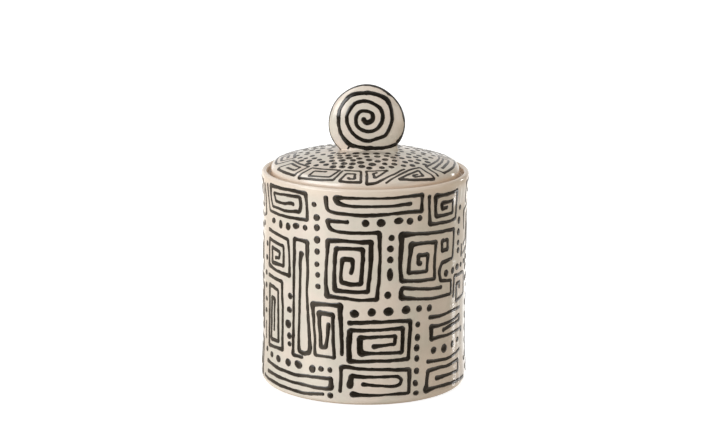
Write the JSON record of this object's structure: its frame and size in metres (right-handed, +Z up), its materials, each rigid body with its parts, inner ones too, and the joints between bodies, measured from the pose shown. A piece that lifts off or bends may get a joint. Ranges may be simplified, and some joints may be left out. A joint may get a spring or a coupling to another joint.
{
  "type": "pottery jar",
  "caption": "Straight-walled glazed pottery jar with a ledge inside its rim, a domed lift-off lid and an upright pebble-shaped disc knob.",
  "frame": {"origin": "centre of the foot ring, on the table", "axes": "+Z up along the jar's axis, -Y out of the knob's front face, +X to the right of someone facing that face"},
  "size_m": [0.1116, 0.1116, 0.1615],
  "materials": {
    "cream_glaze": "gloss",
    "black_slip": "gloss"
  },
  "bodies": {
    "jar": {"jar_body": "cream_glaze"},
    "lid": {"lid": "cream_glaze", "knob": "cream_glaze"}
  },
  "joints": [
    {"name": "lid_lift", "type": "slide", "parent": "jar", "child": "lid", "axis": [0, 0, 1], "range_m": [0, 0.1]}
  ]
}
